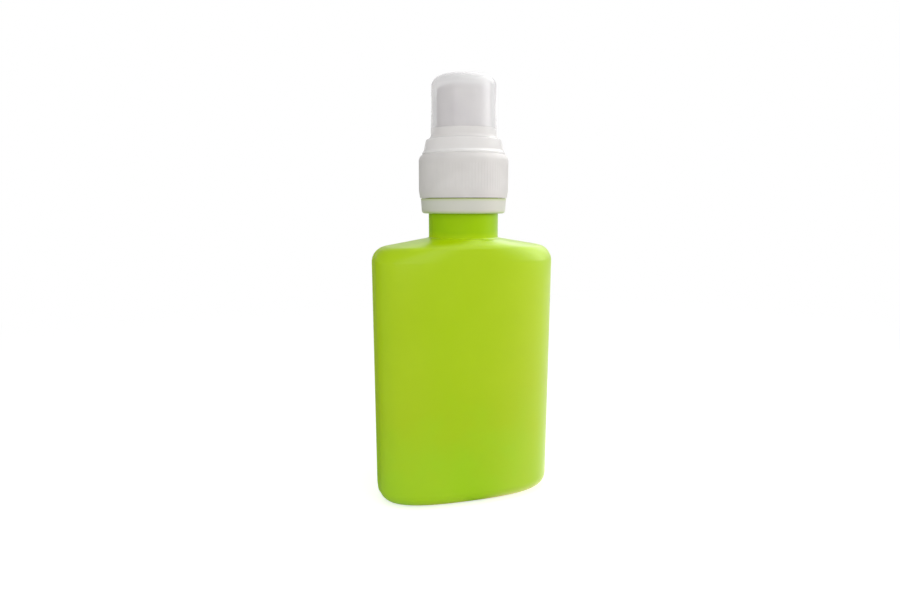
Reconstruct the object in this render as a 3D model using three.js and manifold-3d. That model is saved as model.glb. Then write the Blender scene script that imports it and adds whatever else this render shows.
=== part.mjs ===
// Pocket sports water bottle: a flat oval blow-moulded flask with a screw closure of the 28 mm class,
// a push-pull drinking spout and a clear push-fit overcap.
// Millimetres, +Z up. The origin is on the floor under the middle of the flask; +X runs along its width.
import * as THREE from "three";
import { mergeVertices } from "three/addons/utils/BufferGeometryUtils.js";
import Module from "manifold-3d";

const wasm = await Module();
wasm.setup();

// Flask
const BODY_BASE_WIDTH = 63.6;
const BODY_TOP_WIDTH = 64.8;
const BODY_BASE_DEPTH = 28.9;
const BODY_TOP_DEPTH = 29.5;
const BODY_HEIGHT = 91.1; // floor to the rim of the shoulder
const PLAN_POWER = 2.7; // superellipse power of the plan outline: 2 is an ellipse, more is boxier
const BODY_WALL = 1.2;
const BASE_EDGE_RADIUS = 5.5;
const BASE_RIM_WIDTH = 2.6; // flat rim that the flask stands on
const BASE_RECESS_DEPTH = 1.3;
const BASE_RECESS_SLOPE = 1.2; // run of the recess wall in plan
const SHOULDER_RADIUS = 5.4; // on the narrow sides
const SHOULDER_RISE = 2.5; // shoulder rim to neck root
const FRONT_EDGE_RADIUS = 1.6; // on the broad sides, in front of the neck and behind it
const FRONT_EDGE_DROP = 3.0; // from the neck root down to where that rounding starts
const NECK_DIAMETER = 24.2;
const NECK_WALL = 1.7;
const NECK_STAND = 8.5; // bare neck between its root and the tamper band
const NECK_ROOT_RADIUS = 0.6;
const LIP_CHAMFER = 0.4;
const LOCK_BEAD_HEIGHT = 1.2; // how far the bead that holds the tamper band stands out of the neck
const LOCK_BEAD_LENGTH = 2.5;

// Tamper band
const BAND_HEIGHT = 4.85;
const BAND_WALL = 1.15;
const BAND_GAP = 0.4; // torn gap between the band and the closure's skirt
const BAND_EDGE = 0.9; // chamfer round the foot
const BAND_TAPER = 0.3; // how far the band draws in towards its foot
const HOOK_HEIGHT = 1.9; // inner lip that hooks under the lock bead
const BRIDGE_COUNT = 12; // stubs of the torn bridges
const BRIDGE_WIDTH = 0.9;
const BRIDGE_HEIGHT = 0.1;

// Screw closure
const THREAD_SPACE = 1.8; // radial room for the thread between neck and skirt
const SKIRT_WALL = 1.35;
const SKIRT_HEIGHT = 14.85; // skirt foot to the top of the deck
const SKIRT_CORNER = 2.5;
const RIB_COUNT = 90;
const RIB_DEPTH = 0.25;
const RIB_FOOT = 2.5; // smooth hem under the grip ribs
const HEM_TAPER = 0.4; // how far the hem draws in towards its foot
const RIB_LENGTH = 9.0;
const DECK_THICKNESS = 1.6;
const DECK_LEDGE = 1.3; // deck left free outside the overcap
const ROOF_WALL = 1.3;
const STEP_HEIGHT = 3.4; // stepped ring that the overcap is pushed over
const PEDESTAL_HEIGHT = 4.7;
const PEDESTAL_FLARE = 0.9; // how far the pedestal widens towards its foot
const CHIMNEY_BORE = 11.4;
const CHIMNEY_BEAD = 0.5; // retaining bead at the chimney's top
const CHIMNEY_BEAD_LENGTH = 1.4;
const PIN_DIAMETER = 3.4; // centre pin that plugs the spout's orifice
const PIN_LENGTH = 12.2;
const WEB_COUNT = 3;
const WEB_THICKNESS = 1.2;
const WEB_HEIGHT = 3.2;

// Seal liner
const LINER_THICKNESS = 1.2;
const LINER_OVERHANG = 0.7; // how far the washer reaches over the neck's bore

// Push-pull spout
const SPOUT_HEIGHT = 13.8;
const SPOUT_WALL = 1.45;
const SPOUT_TOP = 1.6;
const SPOUT_CORNER = 1.3;
const SPOUT_DRAFT = 0.15;
const SPOUT_FOOT_HEIGHT = 1.2;
const SPOUT_FOOT_LEDGE = 0.2;
const SPOUT_BEAD_LENGTH = 1.5;
const SPOUT_STROKE = 2.6;

// Overcap
const OVERCAP_WALL = 0.9;
const OVERCAP_TOP = 0.7;
const OVERCAP_CORNER = 3.8;
const OVERCAP_DRAFT = 0.12;
const COLLAR_HEIGHT = 4.4;
const COLLAR_TAPER = 1.2;
const RIM_HEIGHT = 0.3; // lip round the collar's foot that the overcap is pulled off by
const RIM_LEDGE = 0.5;
const FLARE_RADIUS = 1.6;
const FLARE_HEIGHT = 2.5;

// Clearances
const SEAT_GAP = 0.3; // between faces that rest on each other
const SLIDE_GAP = 0.35; // between a sliding or turning piece and what guides it
const DOME_GAP = 0.85; // between the spout's foot and the overcap

// Facets
const FLASK_SEGMENTS = 48;
const TURNED_SEGMENTS = 40;
const CLOSURE_SEGMENTS = 45;
const ARC_STEPS = 4;

// Heights of the stack, from the floor
const rootZ = BODY_HEIGHT + SHOULDER_RISE;
const bandZ = rootZ + NECK_STAND;
const skirtZ = bandZ + BAND_HEIGHT + BAND_GAP;
const deckZ = skirtZ + SKIRT_HEIGHT;
const linerZ = deckZ - DECK_THICKNESS - SEAT_GAP - LINER_THICKNESS;
const lipZ = linerZ - SEAT_GAP;
const stepZ = deckZ + STEP_HEIGHT;
const pedestalZ = stepZ + PEDESTAL_HEIGHT;
const spoutZ = pedestalZ + SEAT_GAP;
const overcapZ = deckZ + SEAT_GAP;

// Radii, from the neck outwards and from the chimney outwards
const neckR = NECK_DIAMETER / 2;
const boreR = neckR - NECK_WALL;
const beadR = neckR + LOCK_BEAD_HEIGHT;
const bandInnerR = beadR + SLIDE_GAP;
const bandR = bandInnerR + BAND_WALL;
const hookR = neckR + SLIDE_GAP;
const skirtInnerR = neckR + THREAD_SPACE;
const skirtR = skirtInnerR + SKIRT_WALL + RIB_DEPTH;
const collarR = skirtR - DECK_LEDGE;
const stepR = collarR - OVERCAP_WALL - SLIDE_GAP;
const chimneyInnerR = CHIMNEY_BORE / 2;
const chimneyR = chimneyInnerR + ROOF_WALL;
const spoutInnerR = chimneyR + CHIMNEY_BEAD + SLIDE_GAP;
const spoutR = spoutInnerR + SPOUT_WALL;
const spoutFootR = spoutR + SPOUT_FOOT_LEDGE;
const domeR = spoutFootR + DOME_GAP + OVERCAP_WALL;
const pinR = PIN_DIAMETER / 2;
const orificeR = pinR + SEAT_GAP;

const lerp = THREE.MathUtils.lerp;
const rad = THREE.MathUtils.degToRad;

// Points of an arc in a half-section, as [radius, height] pairs, between two angles in degrees
function arc(centreR, centreZ, radius, fromDeg, toDeg, steps = ARC_STEPS) {
  const points = [];
  for (let i = 0; i <= steps; i++) {
    const angle = rad(lerp(fromDeg, toDeg, i / steps));
    points.push([centreR + radius * Math.cos(angle), centreZ + radius * Math.sin(angle)]);
  }
  return points;
}

// A half-section of [radius, height] pairs turned round the Z axis
function turned(section, segments = TURNED_SEGMENTS) {
  const points = section.map(([r, z]) => new THREE.Vector2(Math.max(r, 0), z));
  return new THREE.LatheGeometry(points, segments).rotateX(Math.PI / 2);
}

// A half-section that closes on itself, for a ring
function turnedRing(section, segments = TURNED_SEGMENTS) {
  return turned([...section, section[0]], segments);
}

// Closed geometry to a solid and back, for joins and cuts
function solid(geometry) {
  const bare = geometry.clone();
  bare.deleteAttribute("normal");
  bare.deleteAttribute("uv");
  const merged = mergeVertices(bare, 1e-4);
  return new wasm.Manifold(
    new wasm.Mesh({
      numProp: 3,
      vertProperties: new Float32Array(merged.attributes.position.array),
      triVerts: new Uint32Array(merged.index.array),
    }),
  );
}

function geometryOf(body) {
  const mesh = body.getMesh();
  const geometry = new THREE.BufferGeometry();
  geometry.setAttribute("position", new THREE.BufferAttribute(new Float32Array(mesh.vertProperties), 3));
  geometry.setIndex(new THREE.BufferAttribute(new Uint32Array(mesh.triVerts), 1));
  geometry.computeVertexNormals();
  return geometry;
}

function plastic(colour, roughness, opacity = 1) {
  return new THREE.MeshStandardMaterial({
    color: colour,
    roughness,
    metalness: 0,
    opacity,
    transparent: opacity < 1,
  });
}

function piece(name, geometry, material, z) {
  const mesh = new THREE.Mesh(geometry, material);
  mesh.name = name;
  mesh.position.z = z;
  return mesh;
}

// Flask: plan outlines stacked from the base to the lip and back down inside, skinned into one shell
function planRing({ z, halfWidth, halfDepth, power }) {
  const ring = [];
  for (let i = 0; i < FLASK_SEGMENTS; i++) {
    const angle = (i / FLASK_SEGMENTS) * 2 * Math.PI;
    const c = Math.cos(angle);
    const s = Math.sin(angle);
    const x = halfWidth * Math.sign(c) * Math.abs(c) ** (2 / power);
    const y = halfDepth * Math.sign(s) * Math.abs(s) ** (2 / power);
    ring.push(new THREE.Vector3(x, y, z));
  }
  return ring;
}

// The side walls lean out evenly from the base to the shoulder rim
function sideHalf(z) {
  const share = z / BODY_HEIGHT;
  return {
    width: lerp(BODY_BASE_WIDTH, BODY_TOP_WIDTH, share) / 2,
    depth: lerp(BODY_BASE_DEPTH, BODY_TOP_DEPTH, share) / 2,
  };
}

// Sections of the body from the base recess to the neck root, on a skin that lies inset from the outside
function bodySections(inset) {
  const sections = [];
  const add = (z, halfWidth, halfDepth, power = PLAN_POWER) =>
    sections.push({ z, halfWidth, halfDepth, power });
  const addInset = (z, inward) => {
    const half = sideHalf(z);
    add(z, half.width - inward, half.depth - inward);
  };

  const rimInner = BASE_EDGE_RADIUS + BASE_RIM_WIDTH;
  addInset(inset + BASE_RECESS_DEPTH, rimInner + BASE_RECESS_SLOPE);
  addInset(inset, rimInner);

  const edge = BASE_EDGE_RADIUS - inset;
  for (const [inward, up] of arc(edge, edge, edge, 270, 180)) addInset(inset + up, inset + inward);

  const springZ = BODY_HEIGHT - SHOULDER_RADIUS;
  const spring = sideHalf(springZ);
  const width = spring.width - inset;
  const depth = spring.depth - inset;
  const rootR = inset > 0 ? boreR : neckR + NECK_ROOT_RADIUS;
  const topZ = rootZ - inset;
  // A wall turns over its rounded edge by this angle, then climbs to the neck root along the edge's tangent
  const turnOver = (half, radius, fromZ) => {
    const run = rootR - (half - radius);
    const rise = topZ - fromZ;
    return Math.atan2(rise, run) - Math.acos(radius / Math.hypot(run, rise));
  };

  const frontZ = rootZ - FRONT_EDGE_DROP;
  const frontEdge = Math.max(FRONT_EDGE_RADIUS - inset, inset / 4); // a thick wall leaves little of it inside
  const frontTurn = turnOver(depth, frontEdge, frontZ);
  const slopeZ = frontZ + frontEdge * Math.sin(frontTurn);
  const slopeFoot = depth - frontEdge * (1 - Math.cos(frontTurn));
  const depthAt = (z) => {
    if (z > slopeZ) return lerp(slopeFoot, rootR, (z - slopeZ) / (topZ - slopeZ));
    return depth - frontEdge + Math.sqrt(frontEdge ** 2 - Math.max(0, z - frontZ) ** 2);
  };
  const powerAt = (z) => lerp(PLAN_POWER, 2, (z - springZ) / (topZ - springZ));

  const corner = SHOULDER_RADIUS - inset;
  const cornerTurn = THREE.MathUtils.radToDeg(turnOver(width, corner, springZ));
  const shoulder = arc(width - corner, springZ, corner, 0, cornerTurn);
  for (const [outward, up] of shoulder) add(up, outward, depthAt(up), powerAt(up));
  const [crownFoot, crownZ] = shoulder.at(-1);
  for (let i = 1; i <= ARC_STEPS; i++) {
    const share = i / ARC_STEPS;
    const z = lerp(crownZ, topZ, share);
    add(z, lerp(crownFoot, rootR, share), depthAt(z), powerAt(z));
  }
  return sections;
}

// Neck from its root up to the lip, with the bead that keeps the tamper band on
function neckSections() {
  const beadZ = bandZ + HOOK_HEIGHT + SLIDE_GAP;
  const outline = [
    ...arc(neckR + NECK_ROOT_RADIUS, rootZ + NECK_ROOT_RADIUS, NECK_ROOT_RADIUS, 270, 180).slice(1),
    [neckR, beadZ],
    [beadR, beadZ + LOCK_BEAD_HEIGHT / 5],
    [beadR, beadZ + LOCK_BEAD_LENGTH / 2],
    [neckR, beadZ + LOCK_BEAD_LENGTH],
    [neckR, lipZ - LIP_CHAMFER],
    [neckR - LIP_CHAMFER, lipZ],
    [boreR, lipZ],
  ];
  return outline.map(([r, z]) => ({ z, halfWidth: r, halfDepth: r, power: 2 }));
}

function flaskGeometry() {
  const inner = bodySections(BODY_WALL).reverse();
  const sections = [...bodySections(0), ...neckSections(), ...inner];
  const positions = sections.flatMap((s) => planRing(s).flatMap((p) => p.toArray()));
  const outerPole = sections.length * FLASK_SEGMENTS;
  const innerPole = outerPole + 1;
  positions.push(0, 0, sections[0].z, 0, 0, sections.at(-1).z);

  const at = (row, i) => row * FLASK_SEGMENTS + (i % FLASK_SEGMENTS);
  const last = sections.length - 1;
  const index = [];
  for (let i = 0; i < FLASK_SEGMENTS; i++) {
    index.push(outerPole, at(0, i + 1), at(0, i));
    index.push(innerPole, at(last, i), at(last, i + 1));
    for (let row = 0; row < last; row++) {
      index.push(at(row, i), at(row, i + 1), at(row + 1, i + 1));
      index.push(at(row, i), at(row + 1, i + 1), at(row + 1, i));
    }
  }
  const geometry = new THREE.BufferGeometry();
  geometry.setAttribute("position", new THREE.Float32BufferAttribute(positions, 3));
  geometry.setIndex(index);
  geometry.computeVertexNormals();
  return geometry;
}

// Tamper band: an L-section ring hooked under the neck's lock bead, with the stubs of its torn bridges
function bandGeometry() {
  const footR = bandR - BAND_TAPER;
  const ring = turnedRing([
    [hookR, BAND_EDGE / 2],
    [hookR + BAND_EDGE / 2, 0],
    [footR - BAND_EDGE, 0],
    [footR - BAND_EDGE / 4, BAND_EDGE / 3],
    [footR, BAND_EDGE],
    [bandR, BAND_HEIGHT],
    [bandInnerR, BAND_HEIGHT],
    [bandInnerR, HOOK_HEIGHT],
    [hookR, HOOK_HEIGHT],
  ]);
  let band = solid(ring);
  const root = BRIDGE_HEIGHT; // the stub is as deep in the ring as it stands out of it
  for (let i = 0; i < BRIDGE_COUNT; i++) {
    const stub = new THREE.BoxGeometry(BAND_WALL / 2, BRIDGE_WIDTH, BRIDGE_HEIGHT + root);
    stub.translate((bandInnerR + bandR) / 2, 0, BAND_HEIGHT + (BRIDGE_HEIGHT - root) / 2);
    stub.rotateZ(((i + 0.5) / BRIDGE_COUNT) * 2 * Math.PI);
    band = band.add(solid(stub));
  }
  return geometryOf(band);
}

// Screw closure, from its skirt's foot: ribbed skirt, deck, step, pedestal, chimney and centre pin
function closureShell() {
  const deck = SKIRT_HEIGHT;
  const step = stepZ - skirtZ;
  const pedestal = pedestalZ - skirtZ;
  const chimneyBead = spoutZ - skirtZ + SPOUT_BEAD_LENGTH + SPOUT_STROKE + SEAT_GAP;
  const chimneyTop = chimneyBead + CHIMNEY_BEAD_LENGTH;
  const stepTopR = stepR - COLLAR_TAPER;
  const hem = RIB_DEPTH / 2;
  const corner = Math.min(SKIRT_CORNER, skirtR - stepR - SEAT_GAP); // it ends on the deck, short of the step
  return turnedRing(
    [
      [skirtInnerR, 0],
      [skirtR - HEM_TAPER - hem, 0],
      [skirtR - HEM_TAPER, hem],
      [skirtR, RIB_FOOT],
      ...arc(skirtR - corner, deck - corner, corner, 0, 90),
      [stepR, deck],
      [stepTopR, step],
      [spoutFootR + PEDESTAL_FLARE, step],
      [spoutFootR, pedestal],
      [chimneyR, pedestal],
      [chimneyR, chimneyBead],
      [chimneyR + CHIMNEY_BEAD, chimneyBead + CHIMNEY_BEAD / 2],
      [chimneyR, chimneyTop],
      [chimneyInnerR, chimneyTop],
      [chimneyInnerR, pedestal - ROOF_WALL],
      [spoutFootR - ROOF_WALL, pedestal - ROOF_WALL],
      [spoutFootR - ROOF_WALL, step - ROOF_WALL],
      [stepTopR - ROOF_WALL, step - ROOF_WALL],
      [stepTopR - ROOF_WALL, deck - DECK_THICKNESS],
      [skirtInnerR, deck - DECK_THICKNESS],
    ],
    CLOSURE_SEGMENTS,
  );
}

// What is cut away between the grip ribs: a collar whose bore is the ribbed outline
function ribCutter() {
  const clear = 2 * RIB_DEPTH;
  const valleyR = skirtR - RIB_DEPTH;
  const crestR = skirtR + clear;
  const around = (share) => (share / RIB_COUNT) * 2 * Math.PI;
  const crest = 0.35; // share of the pitch that the crest takes
  const bore = new THREE.Path();
  for (let i = 0; i < RIB_COUNT; i++) {
    for (const [share, r] of [
      [i, crestR],
      [i + crest, crestR],
      [i + (1 + crest) / 2 - crest / 4, valleyR],
      [i + (1 + crest) / 2 + crest / 4, valleyR],
    ]) {
      const x = r * Math.cos(around(share));
      const y = r * Math.sin(around(share));
      if (i === 0 && share === 0) bore.moveTo(x, y);
      else bore.lineTo(x, y);
    }
  }
  bore.closePath();
  const collar = new THREE.Shape().absarc(0, 0, crestR + clear, 0, 2 * Math.PI, false);
  collar.holes.push(bore);
  const length = { depth: RIB_LENGTH, bevelEnabled: false, curveSegments: CLOSURE_SEGMENTS };
  return new THREE.ExtrudeGeometry(collar, length).translate(0, 0, RIB_FOOT);
}

function closureGeometry() {
  let closure = solid(closureShell()).subtract(solid(ribCutter()));
  const pinTop = spoutZ - skirtZ + SPOUT_HEIGHT;
  const pinFoot = pinTop - PIN_LENGTH;
  const nose = pinR / 3;
  const pin = turned(
    [
      [0, pinFoot],
      [pinR, pinFoot],
      [pinR, pinTop - nose],
      [pinR - nose, pinTop],
      [0, pinTop],
    ],
    TURNED_SEGMENTS / 2,
  );
  closure = closure.add(solid(pin));
  const reach = chimneyInnerR + ROOF_WALL / 2;
  for (let i = 0; i < WEB_COUNT; i++) {
    const web = new THREE.BoxGeometry(reach, WEB_THICKNESS, WEB_HEIGHT);
    web.translate(reach / 2, 0, pinFoot + WEB_HEIGHT / 2);
    web.rotateZ((i / WEB_COUNT) * 2 * Math.PI);
    closure = closure.add(solid(web));
  }
  return geometryOf(closure);
}

// Seal liner: a foam washer between the lip and the deck
function linerGeometry() {
  const inner = boreR - LINER_OVERHANG;
  const outer = skirtInnerR - SEAT_GAP;
  return turnedRing([
    [inner, 0],
    [outer, 0],
    [outer, LINER_THICKNESS],
    [inner, LINER_THICKNESS],
  ]);
}

// Push-pull spout: a sleeve that slides on the chimney, shut by the centre pin when it is down
function spoutGeometry() {
  const guideR = chimneyR + SLIDE_GAP;
  const topR = spoutR - SPOUT_DRAFT;
  const easing = SPOUT_FOOT_LEDGE / 2;
  return turnedRing([
    [guideR, 0],
    [spoutFootR - easing, 0],
    [spoutFootR, easing],
    [spoutFootR, SPOUT_FOOT_HEIGHT],
    [spoutR, SPOUT_FOOT_HEIGHT + SPOUT_FOOT_LEDGE],
    ...arc(topR - SPOUT_CORNER, SPOUT_HEIGHT - SPOUT_CORNER, SPOUT_CORNER, 0, 90),
    [orificeR, SPOUT_HEIGHT],
    [orificeR, SPOUT_HEIGHT - SPOUT_TOP],
    [spoutInnerR - SPOUT_CORNER, SPOUT_HEIGHT - SPOUT_TOP],
    [spoutInnerR, SPOUT_HEIGHT - SPOUT_TOP - SPOUT_CORNER],
    [spoutInnerR, SPOUT_BEAD_LENGTH + CHIMNEY_BEAD],
    [guideR, SPOUT_BEAD_LENGTH],
  ]);
}

// Overcap: a thin dome on a tapered collar that is pushed over the closure's step
function overcapGeometry() {
  const top = spoutZ + SPOUT_HEIGHT + SPOUT_STROKE + SEAT_GAP + OVERCAP_TOP - overcapZ;
  const collarTopR = collarR - COLLAR_TAPER;
  const flareZ = COLLAR_HEIGHT + FLARE_HEIGHT;
  const domeTopR = domeR - OVERCAP_DRAFT;
  const innerCorner = OVERCAP_CORNER - OVERCAP_WALL;
  const innerTop = top - OVERCAP_TOP;
  const inside = [
    [0, innerTop],
    ...arc(domeTopR - OVERCAP_CORNER, innerTop - innerCorner, innerCorner, 90, 0),
    [domeR - OVERCAP_WALL, flareZ - FLARE_RADIUS / 2],
    [collarTopR - OVERCAP_WALL, COLLAR_HEIGHT - OVERCAP_WALL],
    [collarR - OVERCAP_WALL, 0],
  ];
  const outside = [
    [collarR, 0],
    [collarR, RIM_HEIGHT],
    [collarR - RIM_LEDGE, RIM_HEIGHT + RIM_LEDGE],
    [collarTopR, COLLAR_HEIGHT],
    ...arc(domeR + FLARE_RADIUS, flareZ, FLARE_RADIUS, 250, 180),
    ...arc(domeTopR - OVERCAP_CORNER, top - OVERCAP_CORNER, OVERCAP_CORNER, 0, 90),
    [0, top],
  ];
  return turned([...inside, ...outside]);
}

const green = plastic(0xa7c81b, 0.42);
const white = plastic(0xeeeceb, 0.45);
const foam = plastic(0xf4f3ef, 0.9);
const clear = plastic(0xf2f1f4, 0.15, 0.45);

const closureGroup = new THREE.Group();
closureGroup.position.z = skirtZ;
closureGroup.add(
  piece("screw_closure", closureGeometry(), white, 0),
  piece("seal_liner", linerGeometry(), foam, linerZ - skirtZ),
  piece("push_pull_spout", spoutGeometry(), white, spoutZ - skirtZ),
  piece("overcap", overcapGeometry(), clear, overcapZ - skirtZ),
);

const bottle = new THREE.Group();
bottle.add(
  piece("flask", flaskGeometry(), green, 0),
  piece("tamper_band", bandGeometry(), white, bandZ),
  closureGroup,
);

export default bottle;
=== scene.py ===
import math

import bmesh
import bpy
from mathutils import Matrix, Vector


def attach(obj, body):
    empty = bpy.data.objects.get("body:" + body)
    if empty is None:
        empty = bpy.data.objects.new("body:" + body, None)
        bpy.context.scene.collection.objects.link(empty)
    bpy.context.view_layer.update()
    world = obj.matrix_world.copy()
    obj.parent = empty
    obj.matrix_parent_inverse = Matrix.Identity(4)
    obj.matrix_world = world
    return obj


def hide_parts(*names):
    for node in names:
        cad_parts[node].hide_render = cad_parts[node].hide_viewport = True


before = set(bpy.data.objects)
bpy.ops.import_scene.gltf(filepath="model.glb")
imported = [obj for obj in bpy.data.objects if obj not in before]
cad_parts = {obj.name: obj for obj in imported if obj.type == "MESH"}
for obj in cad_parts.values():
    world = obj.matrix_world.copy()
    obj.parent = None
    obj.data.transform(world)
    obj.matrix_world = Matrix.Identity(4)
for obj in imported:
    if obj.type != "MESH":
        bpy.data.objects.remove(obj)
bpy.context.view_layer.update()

# Camera
# A phone held close in front of the bottle and a little to its left, at about the height of the neck.
camera_data = bpy.data.cameras.new("camera")
camera_data.sensor_fit = "HORIZONTAL"
camera_data.sensor_width = 36.0
camera_data.lens = 24.8
camera_data.clip_start = 0.01
camera = bpy.data.objects.new("camera", camera_data)
camera.location = (-0.06403, -0.20942, 0.10519)
camera.rotation_euler = (math.radians(81.23), 0.0, math.radians(-15.78))
bpy.context.scene.collection.objects.link(camera)
bpy.context.scene.camera = camera

# Flask
# The shell that holds the drink: lime green high-density polyethylene, blown in a mould of two halves that
# meet on the narrow sides. The halves leave a fine line there and across the base; the neck is round.
MM = 0.001  # sizes are in millimetres
flask_base = (31.66, 14.45)  # half width and half depth at the floor
flask_lean = (0.6, 0.3)  # how far the walls lean out on the way up to the shoulder
flask_height = 91.1
flask_wall = 1.2
flask_power = 2.7  # superellipse power of the plan: 2 is an ellipse, more is boxier
base_edge, base_rim = 5.5, 2.6  # rounding of the base, and width of the rim that it stands on
base_slope, base_recess = 1.2, 1.3  # width and height of the wall of the recess
shoulder_radius = 5.4  # on the narrow sides
front_radius, front_drop = 2.4, 3.2  # rounding of the broad sides, and its start below the neck root
neck_radius, neck_bore, neck_root, neck_fillet, lip_height = 12.1, 10.4, 93.6, 0.6, 118.8
bead_radius, bead_foot, bead_length = 13.3, 104.35, 2.5
seam_stand = 0.12  # height of the parting line
seam_beside = {1: 0.2, 2: 0.6}  # how far the next two columns stand from it
flask_columns = 144
recess_steps, edge_steps, wall_steps, shoulder_steps, fillet_steps = 6, 10, 8, 16, 8
seam_rest = 6  # steps of the base's edge that the parting line leaves free, for the bottle to stand level


def flask_side(z):
    """Half width and half depth of the flask's outside at a height, in mm."""
    return [base + lean * z / flask_height for base, lean in zip(flask_base, flask_lean)]


def flask_skin(inset):
    """Rings of one skin of the body, up to the neck root: height, half width, half depth, power."""
    rows = []
    rim = base_edge + base_rim
    for step in range(recess_steps + 1):  # wall of the base recess, an S in section
        share = step / recess_steps
        ease = share * share * (3 - 2 * share)
        z = inset + base_recess * (1 - ease)
        half = flask_side(z)
        inward = rim + base_slope * (1 - share)
        rows.append((z, half[0] - inward, half[1] - inward, flask_power))
    edge = base_edge - inset
    for step in range(edge_steps + 1):  # rounded edge of the base
        turn = math.radians(90 * step / edge_steps)
        z = inset + edge * (1 - math.cos(turn))
        half = flask_side(z)
        inward = base_edge - edge * math.sin(turn)
        rows.append((z, half[0] - inward, half[1] - inward, flask_power))
    spring = flask_height - shoulder_radius
    for step in range(1, wall_steps):  # straight walls
        z = base_edge + (spring - base_edge) * step / wall_steps
        half = flask_side(z)
        rows.append((z, half[0] - inset, half[1] - inset, flask_power))
    width, depth = [half - inset for half in flask_side(spring)]
    top = neck_root - inset
    root = neck_bore if inset else neck_radius + neck_fillet

    def turn_over(half, radius, start):
        """Angle of a wall's rounded edge, as far as the tangent that climbs to the neck root."""
        run, rise = root - (half - radius), top - start
        return math.atan2(rise, run) - math.acos(radius / math.hypot(run, rise))

    def upper(z, half_width):
        """Ring above the straight walls, where the plan turns into the round of the neck."""
        share = (z - slope_foot) / (top - slope_foot)
        out = slope_half + (root - slope_half) * share
        if z < slope_foot:
            out = depth - front + math.sqrt(front ** 2 - max(0.0, z - front_start) ** 2)
        return z, half_width, out, flask_power + (2 - flask_power) * (z - spring) / (top - spring)

    front, front_start = front_radius - inset, neck_root - front_drop
    front_turn = turn_over(depth, front, front_start)
    slope_foot = front_start + front * math.sin(front_turn)
    slope_half = depth - front * (1 - math.cos(front_turn))
    corner = shoulder_radius - inset
    corner_turn = turn_over(width, corner, spring)
    for step in range(shoulder_steps + 1):  # shoulder corner
        turn = corner_turn * step / shoulder_steps
        rows.append(upper(spring + corner * math.sin(turn), width - corner + corner * math.cos(turn)))
    foot_z, foot_half = rows[-1][:2]
    for step in range(1, shoulder_steps + 1):  # crown
        share = step / shoulder_steps
        rows.append(upper(foot_z + (top - foot_z) * share, foot_half + (root - foot_half) * share))
    return rows


neck_rows = []
for step in range(1, fillet_steps + 1):
    turn = math.radians(90 * step / fillet_steps)
    out = neck_radius + neck_fillet * (1 - math.sin(turn))
    neck_rows.append((neck_root + neck_fillet * (1 - math.cos(turn)), out, out, 2))
for out, z in (  # radius and height, up the neck, over the bead and the lip, and down the bore
    (neck_radius, 97.0), (neck_radius, 100.5),
    (neck_radius, bead_foot - 0.15), (neck_radius + 0.15, bead_foot), (bead_radius - 0.2, bead_foot + 0.22),
    (bead_radius, bead_foot + 0.42), (bead_radius, bead_foot + 1.1), (bead_radius - 0.2, bead_foot + 1.45),
    (neck_radius + 0.15, bead_foot + bead_length - 0.15), (neck_radius, bead_foot + bead_length + 0.1),
    (neck_radius, 112.0), (neck_radius, lip_height - 0.5), (neck_radius - 0.12, lip_height - 0.18),
    (neck_radius - 0.4, lip_height), (neck_bore + 0.3, lip_height), (neck_bore + 0.06, lip_height - 0.1),
    (neck_bore, lip_height - 0.4), (neck_bore, 105.0),
):
    neck_rows.append((z, out, out, 2))

outer_rows = flask_skin(0.0) + neck_rows
flask_bm = bmesh.new()
flask_rings = []
for number, (z, half_width, half_depth, power) in enumerate(outer_rows + flask_skin(flask_wall)[::-1]):
    ring = bmesh.ops.create_circle(flask_bm, segments=flask_columns, radius=1.0)["verts"]
    for vert in ring:
        turn = math.atan2(vert.co.y, vert.co.x)
        c, s = math.cos(turn), math.sin(turn)
        x = half_width * math.copysign(abs(c) ** (2 / power), c)
        y = half_depth * math.copysign(abs(s) ** (2 / power), s)
        column = round(flask_columns * turn / math.pi / 2) % (flask_columns // 2)
        beside = min(column, flask_columns // 2 - column)
        drop = 0.0
        if beside in seam_beside:
            y = math.copysign(seam_beside[beside], y)
        elif beside == 0 and number < recess_steps:  # the parting line across the base
            drop = seam_stand * (1 - number / recess_steps)
        elif beside == 0 and recess_steps + seam_rest < number < len(outer_rows):  # and up the narrow sides
            x += math.copysign(seam_stand, x)
        vert.co = (x * MM, y * MM, (z - drop) * MM)
    flask_rings.append(list(dict.fromkeys(edge for vert in ring for edge in vert.link_edges)))
for ring, next_ring in zip(flask_rings, flask_rings[1:]):
    bmesh.ops.bridge_loops(flask_bm, edges=ring + next_ring)
for ring in (flask_rings[0], flask_rings[-1]):
    bmesh.ops.contextual_create(flask_bm, geom=ring)
bmesh.ops.recalc_face_normals(flask_bm, faces=flask_bm.faces)


def hex_colour(code):
    """An sRGB colour code as linear RGBA."""
    parts = [int(code[i:i + 2], 16) / 255 for i in (0, 2, 4)]
    return [p / 12.92 if p <= 0.04045 else ((p + 0.055) / 1.055) ** 2.4 for p in parts] + [1.0]


def add_node(tree, kind, sockets=None, stops=(), **settings):
    """Adds a node with its settings and a ramp's stops, and sets or links each input that is named."""
    node = tree.nodes.new(kind)
    for name, value in settings.items():
        setattr(node, name, value)
    for number, (position, code) in enumerate(stops):
        elements = node.color_ramp.elements
        element = elements[number] if number < len(elements) else elements.new(position)
        element.position = position
        element.color = hex_colour(code)
    for name, value in (sockets or {}).items():
        if isinstance(value, bpy.types.NodeSocket):
            tree.links.new(value, node.inputs[name])
        else:
            node.inputs[name].default_value = value
    return node


def new_material(name):
    """An empty node material and its tree, with the output left to be linked."""
    material = bpy.data.materials.new(name)
    material.use_nodes = True
    material.node_tree.nodes.clear()
    return material, material.node_tree


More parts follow.
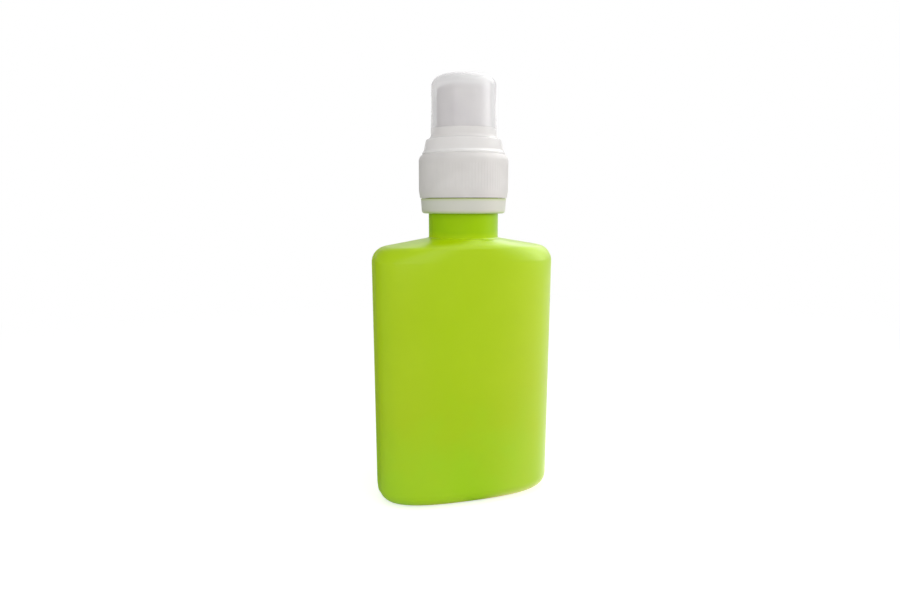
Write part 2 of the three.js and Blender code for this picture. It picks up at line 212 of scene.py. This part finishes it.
def finished(bm, name, *materials):
    """The mesh as an object at the origin, shaded smooth but for its sharp edges."""
    sharp_angle = 35
    mesh = bpy.data.meshes.new(name)
    bm.to_mesh(mesh)
    bm.free()
    for material in materials:
        mesh.materials.append(material)
    mesh.shade_smooth()
    mesh.set_sharp_from_angle(angle=math.radians(sharp_angle))
    made = bpy.data.objects.new(name, mesh)
    bpy.context.scene.collection.objects.link(made)
    return made


# Blow-moulded polyethylene: satin and a little cloudy. Broad soft reflections, fine orange peel, slow changes
# of colour where the wall is thicker or thinner, a cooler green low down, and a deeper, darker green on the
# neck:
# partly its thicker wall, partly painted shade from the closure above it.
drift_size, peel_size, peel_depth = 14, 0.9, 0.03
cool_foot, cool_top = 3, 45  # heights between which the green warms
neck_blend = 3  # height over which it deepens, from the neck root up
base_share, wall_share, neck_share = 0.0, 0.3, 0.7  # where each of the greens starts on the ramp
drift_share = 0.3  # how much of the ramp the thickness of the wall takes up
lime_hdpe, tree = new_material("lime_hdpe_blow_moulded")
place = add_node(tree, "ShaderNodeTexCoord").outputs["Object"]
wall_drift = add_node(tree, "ShaderNodeTexNoise", {
    "Vector": place, "Scale": 1 / (drift_size * MM), "Detail": 2.0}).outputs["Fac"]
height = add_node(tree, "ShaderNodeSeparateXYZ", {"Vector": place}).outputs["Z"]
up_walls = add_node(tree, "ShaderNodeMapRange", {
    "Value": height, "From Min": cool_foot * MM, "From Max": cool_top * MM,
    "To Min": base_share, "To Max": wall_share}).outputs["Result"]
up_neck = add_node(tree, "ShaderNodeMapRange", {
    "Value": height, "From Min": neck_root * MM, "From Max": (neck_root + neck_blend) * MM,
    "To Min": up_walls, "To Max": neck_share}).outputs["Result"]
green_share = add_node(tree, "ShaderNodeMath", {
    0: wall_drift, 1: drift_share, 2: up_neck}, operation="MULTIPLY_ADD").outputs["Value"]
# The last two greens, on the neck, are darker: partly the thicker wall, partly painted shade from the
# closure.
green = add_node(tree, "ShaderNodeValToRGB", {"Fac": green_share}, stops=(
    (0.09, "B2E312"), (0.21, "B4E514"), (0.39, "BBE000"), (0.51, "BEE202"),
    (0.79, "A8D600"), (0.91, "ABD800"))).outputs["Color"]
peel = add_node(tree, "ShaderNodeTexNoise", {"Vector": place, "Scale": 1 / (peel_size * MM), "Detail": 3.0})
peel_bump = add_node(tree, "ShaderNodeBump", {
    "Height": peel.outputs["Fac"], "Strength": 0.25, "Distance": peel_depth * MM})
gloss = add_node(tree, "ShaderNodeMapRange", {
    "Value": wall_drift, "From Min": 0.3, "From Max": 0.7, "To Min": 0.3, "To Max": 0.36})
surface = add_node(tree, "ShaderNodeBsdfPrincipled", {
    "Base Color": green, "Roughness": gloss.outputs["Result"],
    "Normal": peel_bump.outputs["Normal"], "IOR": 1.53, "Specular IOR Level": 0.5,
    "Subsurface Weight": 0.15, "Subsurface Scale": 1.5 * MM, "Subsurface Radius": (0.9, 1.0, 0.3)})
add_node(tree, "ShaderNodeOutputMaterial", {"Surface": surface.outputs["BSDF"]})

# The same plastic on the neck, which the blow pin presses to size. This copy reflects less than the blown
# walls:
# painted shade, for the shade that the closure casts on the neck.
shaded_neck_hdpe = lime_hdpe.copy()
shaded_neck_hdpe.name = "lime_hdpe_neck_painted_shade"
shaded_neck_hdpe.node_tree.nodes[surface.name].inputs["Specular IOR Level"].default_value = 0.16
# Faces above the neck root take the copy with the painted shade.
for face in flask_bm.faces:
    face.material_index = int(face.calc_center_median().z > (neck_root + neck_fillet / 2) * MM)

flask = finished(flask_bm, "flask_shell", lime_hdpe, shaded_neck_hdpe)
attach(flask, "flask")
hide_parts("flask")

# Neck thread
# The right-hand thread that the closure screws on, blown with the neck: two and a quarter turns at a pitch
# of 3 mm, its ends running out into the neck.
thread_pitch = 3.0
thread_foot = 109.2  # height of the thread's middle where it starts
thread_steps = 72  # to a turn
thread_runout = 0.125  # of a turn, at each end


def screw_thread(bm, root, crest, foot, turns, root_half, crest_half):
    """A helical rib from its root radius to its crest radius, in mm, with ends that run out."""
    corners = [(root, -root_half), (crest, -crest_half), (crest, crest_half), (root, root_half)]
    section = [bm.verts.new((r * MM, 0.0, (foot + z) * MM)) for r, z in corners]
    loop = [bm.edges.new((section[i], section[(i + 1) % 4])) for i in range(4)]
    steps = round(thread_steps * turns)
    rise = thread_pitch * turns / steps * MM
    bmesh.ops.spin(
        bm, geom=section + loop, cent=(0, 0, 0), axis=(0, 0, 1), dvec=(0, 0, rise),
        angle=math.tau * turns, steps=steps, use_merge=False)
    for vert in bm.verts:
        share = math.atan2(vert.co.y, vert.co.x) / math.tau % 1.0
        lap = round((vert.co.z / MM - foot) / thread_pitch - share)
        grown = max(0.0, min(1.0, min(share + lap, turns - share - lap) / thread_runout))
        out = vert.co.xy.length / MM
        vert.co.xy *= (root + (out - root) * grown * grown * (3 - 2 * grown)) / out
    bmesh.ops.holes_fill(bm, edges=[e for e in bm.edges if e.is_boundary], sides=8)
    bmesh.ops.recalc_face_normals(bm, faces=bm.faces)


thread_bm = bmesh.new()
screw_thread(
    thread_bm, root=neck_radius - 0.1, crest=13.35, foot=thread_foot, turns=2.25, root_half=0.85,
    crest_half=0.4)
# The thread takes the neck's copy of the plastic, with its painted shade.
neck_thread = finished(thread_bm, "neck_thread", shaded_neck_hdpe)
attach(neck_thread, "flask")

# Tamper band
# The ring that was torn off the closure when it was first opened and stays loose on the neck: white
# polypropylene, hooked under the neck's bead, with the stubs of its torn bridges on its upper edge.
band_foot, band_height, band_steps = 102.1, 5.07, 180
bridge_count, bridge_radius, bridge_depth, bridge_width, bridge_height = 12, 14.225, 0.575, 0.9, 0.1


def turned(bm, corners, foot, steps):
    """Spins a closed half-section of (radius, height, rounding) corners, in mm, round the axis."""
    touching = 0.001 * MM
    verts = [bm.verts.new((r * MM, 0.0, (foot + z) * MM)) for r, z, _ in corners]
    bm.faces.new(verts)
    for rounding in sorted({rounding for _, _, rounding in corners if rounding}):
        bmesh.ops.bevel(
            bm, geom=[v for v, c in zip(verts, corners) if c[2] == rounding], offset=rounding * MM,
            offset_type="OFFSET", affect="VERTICES", segments=6, profile=0.5, material=-1,
            clamp_overlap=False)
    bmesh.ops.delete(bm, geom=bm.faces[:], context="FACES_ONLY")
    on_axis = [e for e in bm.edges if all(v.co.x < touching for v in e.verts)]
    bmesh.ops.delete(bm, geom=on_axis, context="EDGES")
    bmesh.ops.spin(
        bm, geom=bm.verts[:] + bm.edges[:], cent=(0, 0, 0), axis=(0, 0, 1), angle=math.tau, steps=steps,
        use_merge=True)
    bmesh.ops.remove_doubles(bm, verts=bm.verts, dist=touching)
    bmesh.ops.recalc_face_normals(bm, faces=bm.faces)


band_bm = bmesh.new()
turned(band_bm, [
    (12.45, 0.0, 0.4), (14.35, 0.0, 0.8), (14.55, 1.2, 0.0), (14.8, band_height, 0.12),
    (13.65, band_height, 0.1), (13.65, 1.9, 0.2), (12.45, 1.9, 0.3),
], band_foot, band_steps)
for number in range(bridge_count):
    turn = math.tau * (number + 0.5) / bridge_count
    torn = 1.0 - 0.35 * abs(math.sin(5.1 * number + 0.6))  # no two bridges tear off alike
    stub = bmesh.ops.create_cube(band_bm, size=1.0)["verts"]
    bmesh.ops.scale(
        band_bm, verts=stub, vec=(bridge_depth * MM, bridge_width * MM, 2 * bridge_height * torn * MM))
    for vert in stub:
        if vert.co.z > 0:  # drawn thin and slanted where it tore
            vert.co.y *= 0.55 + 0.25 * torn
            vert.co.x *= 0.8
            vert.co.z *= 1.0 if vert.co.y > 0 else 0.75
    bmesh.ops.translate(
        band_bm, verts=stub, vec=(bridge_radius * MM, 0, (band_foot + band_height) * MM))
    bmesh.ops.rotate(band_bm, verts=stub, cent=(0, 0, 0), matrix=Matrix.Rotation(turn, 3, "Z"))

# Injection-moulded polypropylene: white with a trace of warmth. The mould's fine spark-eroded grain makes it
# satin, and it takes a soft highlight on its edges.
drift_size, grain_size, grain_depth = 6, 0.3, 0.015
white_pp, tree = new_material("white_pp_injection_moulded")
place = add_node(tree, "ShaderNodeTexCoord").outputs["Object"]
drift = add_node(tree, "ShaderNodeTexNoise", {
    "Vector": place, "Scale": 1 / (drift_size * MM), "Detail": 1.0}).outputs["Fac"]
tone = add_node(tree, "ShaderNodeValToRGB", {"Fac": drift}, stops=((0.3, "E4E1DE"), (0.7, "E9E6E3")))
grain = add_node(tree, "ShaderNodeTexNoise", {
    "Vector": place, "Scale": 1 / (grain_size * MM), "Detail": 2.0})
grain_bump = add_node(tree, "ShaderNodeBump", {
    "Height": grain.outputs["Fac"], "Strength": 0.2, "Distance": grain_depth * MM})
satin = add_node(tree, "ShaderNodeMapRange", {
    "Value": drift, "From Min": 0.3, "From Max": 0.7, "To Min": 0.38, "To Max": 0.46})
surface = add_node(tree, "ShaderNodeBsdfPrincipled", {
    "Base Color": tone.outputs["Color"], "Roughness": satin.outputs["Result"],
    "Normal": grain_bump.outputs["Normal"], "IOR": 1.49, "Specular IOR Level": 0.5})
add_node(tree, "ShaderNodeOutputMaterial", {"Surface": surface.outputs["BSDF"]})

# The same plastic in the band's thin wall, with green painted into its white, most of all at its edges:
# painted light, for the lime of the neck that shows through it.
green_lit_band_pp = white_pp.copy()
green_lit_band_pp.name = "white_pp_band_painted_green_light"
tree = green_lit_band_pp.node_tree
place = add_node(tree, "ShaderNodeTexCoord").outputs["Object"]
height = add_node(tree, "ShaderNodeSeparateXYZ", {"Vector": place}).outputs["Z"]
up_band = add_node(tree, "ShaderNodeMapRange", {
    "Value": height, "From Min": band_foot * MM, "From Max": (band_foot + band_height) * MM})
# Greener at the foot and at the top edge: painted green light from the neck.
painted_green_light = add_node(tree, "ShaderNodeValToRGB", {"Fac": up_band.outputs["Result"]}, stops=(
    (0.0, "C2D684"), (0.1, "D6DCBC"), (0.25, "DFE0D4"), (0.8, "DFE0D4"), (0.92, "D3DAB4"), (1.0, "BFCE86")))
tree.links.new(painted_green_light.outputs["Color"], tree.nodes[surface.name].inputs["Base Color"])

tamper_band = finished(band_bm, "tamper_ring", green_lit_band_pp)
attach(tamper_band, "tamper_band")
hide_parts("tamper_band")

# Screw closure
# The white cap that is gripped to open the bottle: a ribbed skirt, a deck, the step that the overcap sits
# on, a pedestal for the spout and the chimney that the spout slides on, moulded in one shot of polypropylene.
closure_foot, deck_top, step_top, pedestal_top = 107.35, 14.85, 18.25, 23.2
skirt_radius, skirt_bore, chimney_radius, chimney_bore, chimney_top = 15.45, 13.9, 7.0, 5.7, 29.05
rib_count, rib_depth, rib_columns = 90, 0.08, 4
rib_foot, rib_top, rib_ramp = 2.5, 11.5, 0.5
closure_bm = bmesh.new()
turned(closure_bm, [
    (skirt_bore, 0.0, 0.15), (15.05, 0.0, 0.12), (skirt_radius, rib_foot, 0.0),
    (skirt_radius, rib_foot + rib_ramp, 0.0), (skirt_radius, rib_top - rib_ramp, 0.0),
    (skirt_radius, rib_top, 0.0), (skirt_radius, deck_top, 2.25), (12.95, deck_top, 0.2),
    (11.75, step_top, 0.5), (10.4, step_top, 0.35), (9.5, pedestal_top, 0.2),
    (chimney_radius, pedestal_top, 0.2), (chimney_radius, 27.65, 0.0), (7.5, 27.9, 0.12),
    (chimney_radius, chimney_top, 0.0), (chimney_bore, chimney_top, 0.2), (chimney_bore, 21.65, 0.3),
    (8.2, 21.65, 0.3), (8.2, 16.95, 0.3), (10.45, 16.95, 0.3), (10.45, 13.25, 0.3),
    (skirt_bore, 13.25, 0.5),
], closure_foot, rib_columns * rib_count)
for vert in closure_bm.verts:  # grip ribs: of each four columns two are crest and two are valley
    height = vert.co.z / MM - closure_foot
    column = round(rib_columns * rib_count * math.atan2(vert.co.y, vert.co.x) / math.tau)
    on_grip = rib_foot + rib_ramp / 2 < height < rib_top - rib_ramp / 2
    if on_grip and column % rib_columns in (2, 3):
        vert.co.xy *= 1 - rib_depth / skirt_radius
closure = finished(closure_bm, "closure_cap", white_pp)
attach(closure, "closure")
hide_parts("screw_closure")

# Closure thread
# The rib inside the skirt that runs in the neck's thread, half a pitch above it, moulded with the closure.
thread_bm = bmesh.new()
screw_thread(
    thread_bm, root=14.0, crest=12.75, foot=thread_foot + thread_pitch / 2, turns=1.6, root_half=0.8,
    crest_half=0.4)
closure_thread = finished(thread_bm, "closure_thread", white_pp)
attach(closure_thread, "closure")

# Sealing pin
# The pin that plugs the spout's hole when the spout is down. It stands in the chimney on three webs that the
# drink flows between, and is moulded with the closure.
pin_foot, pin_height, pin_radius, pin_steps = 132.2, 12.2, 1.7, 48
web_count, web_thickness, web_height, web_reach, web_rounding = 3, 1.2, 3.2, 6.3, 0.15
pin_bm = bmesh.new()
turned(pin_bm, [
    (0.0, 0.0, 0.0), (pin_radius, 0.0, 0.3), (pin_radius, pin_height, 0.55), (0.0, pin_height, 0.0),
], pin_foot, pin_steps)
for number in range(web_count):
    web = bmesh.ops.create_cube(pin_bm, size=1.0)["verts"]
    bmesh.ops.scale(pin_bm, verts=web, vec=(web_reach * MM, web_thickness * MM, web_height * MM))
    bmesh.ops.translate(
        pin_bm, verts=web, vec=(web_reach / 2 * MM, 0, (pin_foot + web_height / 2) * MM))
    bmesh.ops.rotate(
        pin_bm, verts=web, cent=(0, 0, 0), matrix=Matrix.Rotation(math.tau * number / web_count, 3, "Z"))
    edges = list(dict.fromkeys(edge for vert in web for edge in vert.link_edges))
    bmesh.ops.bevel(
        pin_bm, geom=edges, offset=web_rounding * MM, offset_type="OFFSET", affect="EDGES", segments=2,
        profile=0.5, material=-1)
sealing_pin = finished(pin_bm, "sealing_pin", white_pp)
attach(sealing_pin, "closure")

# Seal liner
# The washer that seals the closure on the neck's lip, punched from a sheet of white polyethylene foam and
# pressed in under the deck.
liner_foot, liner_height, liner_bore, liner_radius, liner_edge, liner_steps = 119.1, 1.2, 9.7, 13.6, 0.2, 96
liner_bm = bmesh.new()
turned(liner_bm, [
    (liner_bore, 0.0, liner_edge), (liner_radius, 0.0, liner_edge),
    (liner_radius, liner_height, liner_edge), (liner_bore, liner_height, liner_edge),
], liner_foot, liner_steps)

# Closed-cell polyethylene foam: matt white, with the skin of its small cells as a fine pebbling.
cell_size, cell_depth = 0.5, 0.08
white_foam, tree = new_material("white_pe_foam_punched")
place = add_node(tree, "ShaderNodeTexCoord").outputs["Object"]
cells = add_node(tree, "ShaderNodeTexVoronoi", {
    "Vector": place, "Scale": 1 / (cell_size * MM)}).outputs["Distance"]
cell_tone = add_node(tree, "ShaderNodeValToRGB", {"Fac": cells}, stops=((0.0, "F6F4F0"), (1.0, "E9E7E1")))
cell_bump = add_node(
    tree, "ShaderNodeBump", {"Height": cells, "Strength": 0.5, "Distance": cell_depth * MM}, invert=True)
surface = add_node(tree, "ShaderNodeBsdfPrincipled", {
    "Base Color": cell_tone.outputs["Color"], "Roughness": 0.85, "Normal": cell_bump.outputs["Normal"]})
add_node(tree, "ShaderNodeOutputMaterial", {"Surface": surface.outputs["BSDF"]})

seal_liner = finished(liner_bm, "seal_washer", white_foam)
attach(seal_liner, "liner")
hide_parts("seal_liner")

# Push-pull spout
# The sleeve that the mouth takes hold of: it slides up its chimney to open and down on the pin to close.
# White low-density polyethylene, moulded soft and smooth, with a foot rim to pull on.
spout_foot, spout_height, spout_roof, spout_hole, spout_steps = 130.6, 13.8, 12.2, 2.0, 128
spout_bm = bmesh.new()
turned(spout_bm, [
    (7.35, 0.0, 0.2), (9.5, 0.0, 0.1), (9.5, 1.2, 0.1), (9.3, 1.4, 0.09), (9.15, spout_height, 1.3),
    (spout_hole, spout_height, 0.25), (spout_hole, spout_roof, 0.15), (7.85, spout_roof, 1.29),
    (7.85, 2.0, 0.0), (7.35, 1.5, 0.1),
], spout_foot, spout_steps)

# Moulded low-density polyethylene: a smooth, waxy white with a clear soft highlight.
drift_size = 9
white_ldpe, tree = new_material("white_ldpe_injection_moulded")
place = add_node(tree, "ShaderNodeTexCoord").outputs["Object"]
drift = add_node(tree, "ShaderNodeTexNoise", {
    "Vector": place, "Scale": 1 / (drift_size * MM), "Detail": 0.0}).outputs["Fac"]
tone = add_node(tree, "ShaderNodeValToRGB", {"Fac": drift}, stops=((0.3, "E5E1E2"), (0.7, "EBE7E7")))
waxy = add_node(tree, "ShaderNodeMapRange", {
    "Value": drift, "From Min": 0.3, "From Max": 0.7, "To Min": 0.26, "To Max": 0.34})
surface = add_node(tree, "ShaderNodeBsdfPrincipled", {
    "Base Color": tone.outputs["Color"], "Roughness": waxy.outputs["Result"], "IOR": 1.51})
add_node(tree, "ShaderNodeOutputMaterial", {"Surface": surface.outputs["BSDF"]})

spout = finished(spout_bm, "spout_sleeve", white_ldpe)
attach(spout, "spout")
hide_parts("push_pull_spout")

# Overcap
# The clear cover that keeps the spout clean, pushed over the closure's step by hand: a thin-walled moulding
# of natural polypropylene with a tapered collar, a flare and a flat-topped dome.
overcap_foot, overcap_height, overcap_roof, overcap_steps = 122.5, 25.5, 24.8, 144
rim_height, collar_height, flare_height = 0.6, 4.4, 8.0
overcap_bm = bmesh.new()
turned(overcap_bm, [
    (0.0, overcap_roof, 0.0), (10.23, overcap_roof, 2.9), (10.35, 6.1, 0.8), (12.1, 3.5, 0.5),
    (13.3, -0.28, 0.1), (14.2, -0.5, 0.06), (14.2, 0.2, 0.2), (13.7, 0.75, 0.45),
    (13.0, collar_height, 0.45), (11.3, 4.95, 1.1), (11.275, flare_height, 0.0),
    (11.13, overcap_height, 3.8), (0.0, overcap_height, 0.0),
], overcap_foot, overcap_steps)


# Natural polypropylene, moulded thin in a polished mould: clear but a little milky. The haze lies in the
# outer skin and the core side adds next to none. Down the flare and the collar it turns to white. The rim is
# a
# whiter, more opaque and shinier copy: a painted highlight along its edge.
def natural_pp(name, codes, roughness, specular, alpha):
    """Clear plastic with slow changes of its haze."""
    flow_size = 8
    material, tree = new_material(name)
    place = add_node(tree, "ShaderNodeTexCoord").outputs["Object"]
    flow = add_node(tree, "ShaderNodeTexNoise", {
        "Vector": place, "Scale": 1 / (flow_size * MM), "Detail": 1.0})
    haze = add_node(tree, "ShaderNodeValToRGB", {"Fac": flow.outputs["Fac"]}, stops=zip((0.3, 0.7), codes))
    surface = add_node(tree, "ShaderNodeBsdfPrincipled", {
        "Base Color": haze.outputs["Color"], "Roughness": roughness, "IOR": 1.49,
        "Specular IOR Level": specular, "Alpha": alpha})
    add_node(tree, "ShaderNodeOutputMaterial", {"Surface": surface.outputs["BSDF"]})
    return material


clear_pp = natural_pp("natural_pp_injection_moulded", ("E8E6E7", "EFEDED"), 0.08, 1.0, 0.48)
core_pp = natural_pp("natural_pp_core_side", ("F6F4F5", "FCFBFB"), 0.1, 0.5, 0.06)
milky_pp = natural_pp("natural_pp_thick_moulded", ("F7F4F2", "FBF9F7"), 0.25, 0.15, 0.85)
flare_pp = natural_pp("natural_pp_flare_moulded", ("F8F5F3", "FCFAF8"), 0.2, 0.25, 0.7)
# A lit copy of the milky plastic for the rim: its painted highlight.
rim_highlight_pp = natural_pp("natural_pp_rim_painted_highlight", ("FCFAF8", "FFFEFC"), 0.2, 0.9, 0.92)
overcap_plastics = [clear_pp, core_pp, milky_pp, flare_pp, rim_highlight_pp]
for face in overcap_bm.faces:
    middle = face.calc_center_median()
    out = Vector((middle.x, middle.y, 0.0)).normalized()
    plastic = clear_pp
    if face.normal.dot(out) < -0.1 or face.normal.z < -0.5:  # faces that look in or down
        plastic = core_pp
    # The rim takes the copy with the painted highlight.
    elif middle.z < (overcap_foot + rim_height) * MM:
        plastic = rim_highlight_pp
    elif middle.z < (overcap_foot + collar_height) * MM:
        plastic = milky_pp
    elif middle.z < (overcap_foot + flare_height) * MM:
        plastic = flare_pp
    face.material_index = overcap_plastics.index(plastic)

overcap = finished(overcap_bm, "overcap_dome", *overcap_plastics)
overcap.visible_shadow = False  # it lets nearly all of the light through
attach(overcap, "overcap")
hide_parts("overcap")

# Floor, backdrop and light
# A white table that runs out of sight, a white backdrop and four soft lamps: a long window in front and to
# the right, a panel at the right, one overhead and one at the left. Reflections don't see the lamps. They
# see a room that is brighter on the right, and a table that shines differently to each side.
table_half, table_drop = 6000, 0.05
floor_bm = bmesh.new()
bmesh.ops.create_grid(floor_bm, x_segments=8, y_segments=8, size=table_half * MM)
bmesh.ops.translate(floor_bm, verts=floor_bm.verts, vec=(0, 0, -table_drop * MM))


def seen_rays(tree):
    """Whether a ray comes from the camera, a reflection or a clear piece, and whether from a reflection."""
    path = add_node(tree, "ShaderNodeLightPath").outputs
    seen = add_node(tree, "ShaderNodeMath", {
        0: path["Is Camera Ray"], 1: path["Is Glossy Ray"]}, operation="MAXIMUM").outputs["Value"]
    seen = add_node(tree, "ShaderNodeMath", {
        0: seen, 1: path["Is Transmission Ray"]}, operation="MAXIMUM").outputs["Value"]
    return seen, path["Is Glossy Ray"]


# Painted white: matt and shaded by the bottle close to it, plain white further away. What the bottle reflects
# of it goes by bearing, and on the ramp 0 is left, 0.25 front, 0.5 right and 0.75 back.
near_reach = 500  # how far from the bottle the table is shaded
white = hex_colour("FFFFFF")
white_table, tree = new_material("white_table")
seen, mirrored = seen_rays(tree)
place = add_node(tree, "ShaderNodeTexCoord").outputs["Object"]
near = add_node(tree, "ShaderNodeMapping", {"Vector": place, "Scale": (1 / (near_reach * MM),) * 3})
near = add_node(tree, "ShaderNodeTexGradient", {"Vector": near.outputs["Vector"]}, gradient_type="SPHERICAL")
matt = add_node(tree, "ShaderNodeBsdfDiffuse", {"Color": hex_colour("F4F4F4")}).outputs["BSDF"]
lift = add_node(tree, "ShaderNodeEmission", {"Color": white, "Strength": 0.6})
lifted = add_node(tree, "ShaderNodeAddShader", {0: matt, 1: lift.outputs["Emission"]})
far = add_node(tree, "ShaderNodeEmission", {"Color": white, "Strength": 1.0})
plain = add_node(tree, "ShaderNodeMixShader", {
    "Fac": near.outputs["Fac"], 1: far.outputs["Emission"], 2: lifted.outputs["Shader"]})
table = add_node(tree, "ShaderNodeMixShader", {"Fac": seen, 1: matt, 2: plain.outputs["Shader"]})
bearing = add_node(tree, "ShaderNodeTexGradient", {"Vector": place}, gradient_type="RADIAL").outputs["Fac"]
shine = add_node(tree, "ShaderNodeValToRGB", {"Fac": bearing}, stops=(
    (0.0, "464646"), (0.06, "464646"), (0.11, "6A4A3C"), (0.2, "6A4A3C"), (0.25, "161616"),
    (0.297, "3C2024"), (0.347, "906068"), (0.397, "B48490"), (0.43, "C0989C"), (0.5, "C4B8B8"),
    (0.6, "929292"), (0.75, "808080"), (0.82, "2F2F2F"), (0.94, "202020"), (1.0, "464646")))
shine = add_node(tree, "ShaderNodeEmission", {"Color": shine.outputs["Color"], "Strength": 4.2})
table = add_node(tree, "ShaderNodeMixShader", {
    "Fac": mirrored, 1: table.outputs["Shader"], 2: shine.outputs["Emission"]})
add_node(tree, "ShaderNodeOutputMaterial", {"Surface": table.outputs["Shader"]})
floor = finished(floor_bm, "floor", white_table)

world = bpy.data.worlds.new("studio")
world.use_nodes = True
tree = world.node_tree
tree.nodes.clear()
seen, mirrored = seen_rays(tree)
fill = add_node(tree, "ShaderNodeBackground", {"Color": white, "Strength": 0.3})
backdrop = add_node(tree, "ShaderNodeBackground", {"Color": white, "Strength": 1.0})
studio = add_node(tree, "ShaderNodeMixShader", {
    "Fac": seen, 1: fill.outputs["Background"], 2: backdrop.outputs["Background"]})
place = add_node(tree, "ShaderNodeTexCoord").outputs["Generated"]
height = add_node(tree, "ShaderNodeSeparateXYZ", {"Vector": place}).outputs["Z"]
bearing = add_node(tree, "ShaderNodeTexGradient", {"Vector": place}, gradient_type="RADIAL").outputs["Fac"]
window_way = (0.88, 0.2, 0.43)
facing = add_node(tree, "ShaderNodeVectorMath", {0: place, 1: window_way}, operation="DOT_PRODUCT")
facing = add_node(tree, "ShaderNodeMapRange", {
    "Value": facing.outputs["Value"], "From Min": -1.0, "From Max": 1.0}).outputs["Result"]
horizon = add_node(tree, "ShaderNodeValToRGB", {"Fac": bearing}, stops=(
    (0.0, "909090"), (0.06, "909090"), (0.1, "303030"), (0.3, "303030"), (0.35, "7C7C7C"),
    (0.42, "D4D4D4"), (0.5, "FFFFFF"), (0.62, "CCCCCC"), (0.75, "898989"), (0.82, "3F3F3F"),
    (0.94, "303030"), (1.0, "909090")))
horizon = add_node(tree, "ShaderNodeBackground", {"Color": horizon.outputs["Color"], "Strength": 1.25})
room = horizon.outputs["Background"]
panel_front = (
    (0.115, "2A2730"), (0.123, "B8ACB8"), (0.135, "807E7E"), (0.36, "848282"), (0.42, "B8B8B8"),
    (0.445, "F0F0F0"), (0.475, "F0F0F0"), (0.505, "949494"))
panel_left = ((0.85, "3E3E3E"), (1.0, "2A2730"))
# Over the horizon, each faded in between two heights: a panel, a dimmer back wall above it, a high window.
for across, strength, low, high, stops in (
    (bearing, 6.5, 0.09, 0.15, panel_front + ((0.6, "949494"), (0.75, "888888")) + panel_left),
    (bearing, 6.5, 0.16, 0.22, (
        panel_front + ((0.56, "949494"), (0.62, "4C4C4C"), (0.75, "484848")) + panel_left)),
    (facing, 4.6, 0.25, 0.5, (
        (0.35, "323232"), (0.545, "464646"), (0.715, "868686"), (0.97, "FFFFFF"))),
):
    shade = add_node(tree, "ShaderNodeValToRGB", {"Fac": across}, stops=stops)
    shade = add_node(tree, "ShaderNodeBackground", {"Color": shade.outputs["Color"], "Strength": strength})
    above = add_node(tree, "ShaderNodeMapRange", {"Value": height, "From Min": low, "From Max": high})
    room = add_node(tree, "ShaderNodeMixShader", {
        "Fac": above.outputs["Result"], 1: room, 2: shade.outputs["Background"]}).outputs["Shader"]
studio = add_node(tree, "ShaderNodeMixShader", {"Fac": mirrored, 1: studio.outputs["Shader"], 2: room})
add_node(tree, "ShaderNodeOutputWorld", {"Surface": studio.outputs["Shader"]})
bpy.context.scene.world = world

for name, watts, width, height, spot, aim in (
    ("long_window", 2.68, 2.34, 0.2, (0.161, -0.42, 0.28), (0, 0, 0.28)),
    ("side_panel", 0.5, 0.4, 0.5, (0.58, -0.155, 0.3), (0, 0, 0.1)),
    ("overhead", 0.6, 0.6, 0.5, (-0.05, -0.15, 0.6), (0, 0, 0.1)),
    ("left_fill", 0.52, 0.5, 0.6, (-0.55, -0.08, 0.25), (0, 0, 0.1)),
):
    lamp_data = bpy.data.lights.new(name, "AREA")
    lamp_data.shape = "RECTANGLE"
    lamp_data.size = width
    lamp_data.size_y = height
    lamp_data.energy = watts
    lamp = bpy.data.objects.new(name, lamp_data)
    lamp.location = spot
    lamp.rotation_euler = (Vector(aim) - Vector(spot)).to_track_quat("-Z", "Y").to_euler()
    lamp.visible_glossy = False
    bpy.context.scene.collection.objects.link(lamp)
bpy.context.scene.view_settings.view_transform = "Standard"
